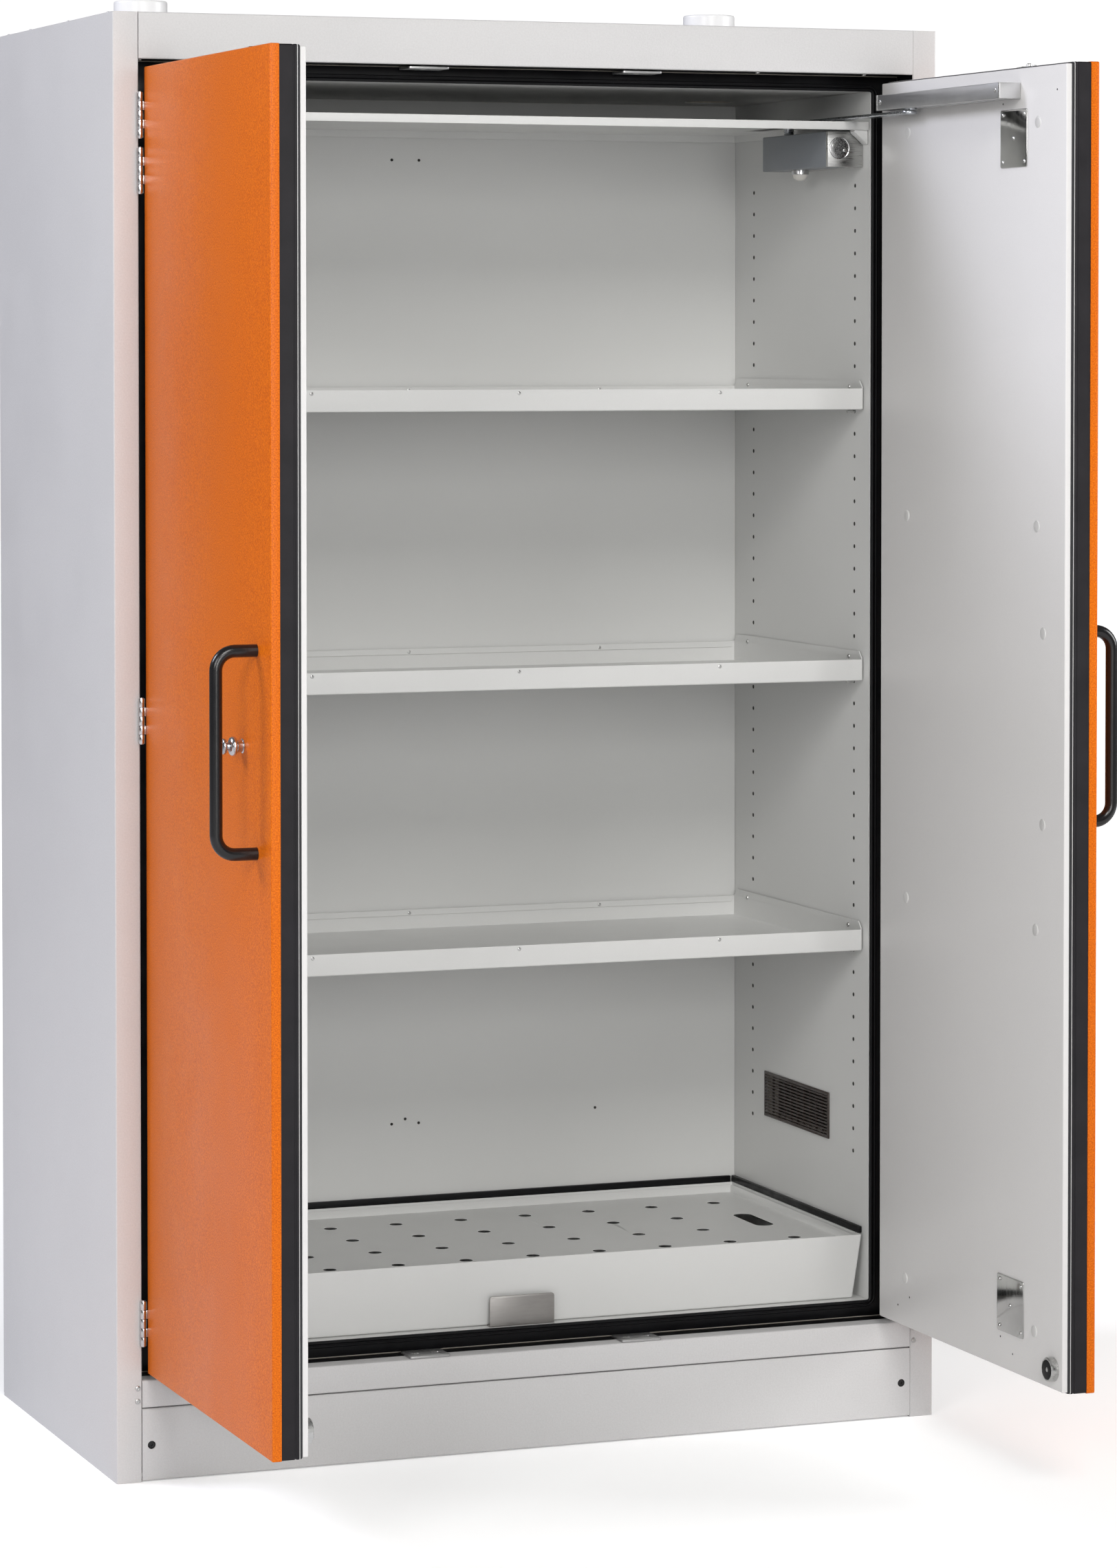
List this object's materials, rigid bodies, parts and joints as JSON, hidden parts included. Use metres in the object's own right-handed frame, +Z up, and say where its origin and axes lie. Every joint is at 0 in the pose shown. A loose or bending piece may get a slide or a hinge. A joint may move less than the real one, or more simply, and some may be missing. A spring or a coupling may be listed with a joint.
{
  "type": "flammable storage cabinet",
  "caption": "Upright fire-resistant storage cabinet with hinged insulated double doors, tray shelves, a spill sump with perforated insert, closer and roof outlets.",
  "frame": {"origin": "on the floor under the middle of the body, at the foot of the base frame", "axes": "+Z up; +X to the right seen from the front; -Y towards the user, +Y towards the wall behind"},
  "size_m": [1.2442, 1.1662, 1.999],
  "materials": {
    "base_frame": "light grey powder coat",
    "bottom_rail": "light grey powder coat",
    "casing_back": "light grey powder coat",
    "casing_left": "light grey powder coat",
    "casing_right": "light grey powder coat",
    "casing_top": "light grey powder coat",
    "closer_arm": "satin",
    "closer_bracket": "satin",
    "closer_housing": "grey coat",
    "frame_hinge_leaves_left": "bright plated",
    "frame_hinge_leaves_right": "bright plated",
    "frame_seal": "black seal",
    "front_fascia": "light grey powder coat",
    "insulation_back": null,
    "insulation_bottom": null,
    "insulation_left": null,
    "insulation_right": null,
    "insulation_top": null,
    "keeper_plate": "satin",
    "left_door_core": null,
    "left_door_edge_strip": "charcoal matte strip",
    "left_door_handle": "black satin coat",
    "left_door_hinge_leaves": "bright plated",
    "left_door_inner_panel": "light grey smooth coating",
    "left_door_latch_pin": "satin",
    "left_door_magnet": "satin",
    "left_door_shell": "orange powder coat",
    "liner_back": "light grey smooth coating",
    "liner_ceiling": "light grey smooth coating",
    "liner_floor": "light grey smooth coating",
    "liner_left": "light grey smooth coating",
    "liner_right": "light grey smooth coating",
    "lock_cylinder": "bright plated",
    "lock_rosette": "bright plated",
    "perforated_insert": "light grey smooth coating",
    "plinth_panel": "light grey powder coat",
    "rail_slider": "satin",
    "right_door_core": null,
    "right_door_edge_strip": "charcoal matte strip",
    "right_door_handle": "black satin coat",
    "right_door_hinge_leaves": "bright plated",
    "right_door_inner_panel": "light grey smooth coating",
    "right_door_latch_pin": "satin",
    "right_door_magnet": "satin",
    "right_door_shell": "orange powder coat",
    "roof_spigot_left": "white matte",
    "roof_spigot_right": "white matte",
    "shelf_lower": "light grey smooth coating",
    "shelf_middle": "light grey smooth coating",
    "shelf_upper": "light grey smooth coating",
    "slide_rail": "satin anodised",
    "striker_lower_left": "satin anodised",
    "striker_lower_right": "satin anodised",
    "striker_upper_left": "satin anodised",
    "striker_upper_right": "satin anodised",
    "sump_tray": "light grey smooth coating",
    "thermal_release": "white matte",
    "top_shelf": "light grey smooth coating",
    "vent_grille_left": "dark brown matte",
    "vent_grille_right": "dark brown matte"
  },
  "bodies": {
    "cabinet": {"base_frame": "base_frame", "bottom_rail": "bottom_rail", "casing_back": "casing_back", "casing_left": "casing_left", "casing_right": "casing_right", "casing_top": "casing_top", "closer_bracket": "closer_bracket", "closer_housing": "closer_housing", "frame_hinge_leaves_left": "frame_hinge_leaves_left", "frame_hinge_leaves_right": "frame_hinge_leaves_right", "frame_seal": "frame_seal", "front_fascia": "front_fascia", "insulation_back": "insulation_back", "insulation_bottom": "insulation_bottom", "insulation_left": "insulation_left", "insulation_right": "insulation_right", "insulation_top": "insulation_top", "keeper_plate": "keeper_plate", "liner_back": "liner_back", "liner_ceiling": "liner_ceiling", "liner_floor": "liner_floor", "liner_left": "liner_left", "liner_right": "liner_right", "plinth_panel": "plinth_panel", "roof_spigot_left": "roof_spigot_left", "roof_spigot_right": "roof_spigot_right", "shelf_lower": "shelf_lower", "shelf_middle": "shelf_middle", "shelf_upper": "shelf_upper", "striker_lower_left": "striker_lower_left", "striker_lower_right": "striker_lower_right", "striker_upper_left": "striker_upper_left", "striker_upper_right": "striker_upper_right", "sump_tray": "sump_tray", "thermal_release": "thermal_release", "top_shelf": "top_shelf", "vent_grille_left": "vent_grille_left", "vent_grille_right": "vent_grille_right"},
    "left_door": {"left_door_shell": "left_door_shell", "left_door_edge_strip": "left_door_edge_strip", "left_door_core": "left_door_core", "left_door_inner_panel": "left_door_inner_panel", "left_door_handle": "left_door_handle", "left_door_magnet": "left_door_magnet", "left_door_hinge_leaves": "left_door_hinge_leaves", "lock_rosette": "lock_rosette"},
    "right_door": {"right_door_shell": "right_door_shell", "right_door_edge_strip": "right_door_edge_strip", "right_door_core": "right_door_core", "right_door_inner_panel": "right_door_inner_panel", "right_door_handle": "right_door_handle", "right_door_magnet": "right_door_magnet", "right_door_hinge_leaves": "right_door_hinge_leaves", "slide_rail": "slide_rail"},
    "closer_arm": {"closer_arm": "closer_arm"},
    "rail_slider": {"rail_slider": "rail_slider"},
    "lock_cylinder": {"lock_cylinder": "lock_cylinder"},
    "left_latch": {"left_door_latch_pin": "left_door_latch_pin"},
    "right_latch": {"right_door_latch_pin": "right_door_latch_pin"},
    "insert": {"perforated_insert": "perforated_insert"}
  },
  "joints": [
    {"name": "left_door_hinge", "type": "hinge", "parent": "cabinet", "child": "left_door", "pos_m": [-0.562, -0.305, 1], "axis": [0, 0, 1], "range_deg": [0, 90.3]},
    {"name": "right_door_hinge", "type": "hinge", "parent": "cabinet", "child": "right_door", "pos_m": [0.562, -0.305, 1], "axis": [0, 0, 1], "range_deg": [-90.8, 0]},
    {"name": "closer_arm_pivot", "type": "hinge", "parent": "cabinet", "child": "closer_arm", "pos_m": [0.4845, -0.045, 1.834], "axis": [0, 0, 1], "range_deg": [-62.1, 0]},
    {"name": "rail_slide", "type": "slide", "parent": "right_door", "child": "rail_slider", "axis": [0.014, -0.9999, 0], "range_m": [0, 0.288]},
    {"name": "lock_turn", "type": "hinge", "parent": "left_door", "child": "lock_cylinder", "pos_m": [-0.57712, -0.74793, 1.018], "axis": [-1, 0.0052, 0], "range_deg": [0, 90]},
    {"name": "left_latch_slide", "type": "slide", "parent": "left_door", "child": "left_latch", "axis": [0, 0, 1], "range_m": [-0.005, 0], "stiffness_N_per_m": 300, "springref_m": 0.003},
    {"name": "right_latch_slide", "type": "slide", "parent": "right_door", "child": "right_latch", "axis": [0, 0, 1], "range_m": [-0.005, 0], "stiffness_N_per_m": 300, "springref_m": 0.003},
    {"name": "insert_lift", "type": "slide", "parent": "cabinet", "child": "insert", "axis": [0, 0, 1], "range_m": [0, 0.12]}
  ],
  "couplings": [
    {"joint": "closer_arm_pivot", "follows": "right_door_hinge", "ratio": 0.682},
    {"joint": "rail_slide", "follows": "right_door_hinge", "m_per_rad": -0.1815}
  ]
}
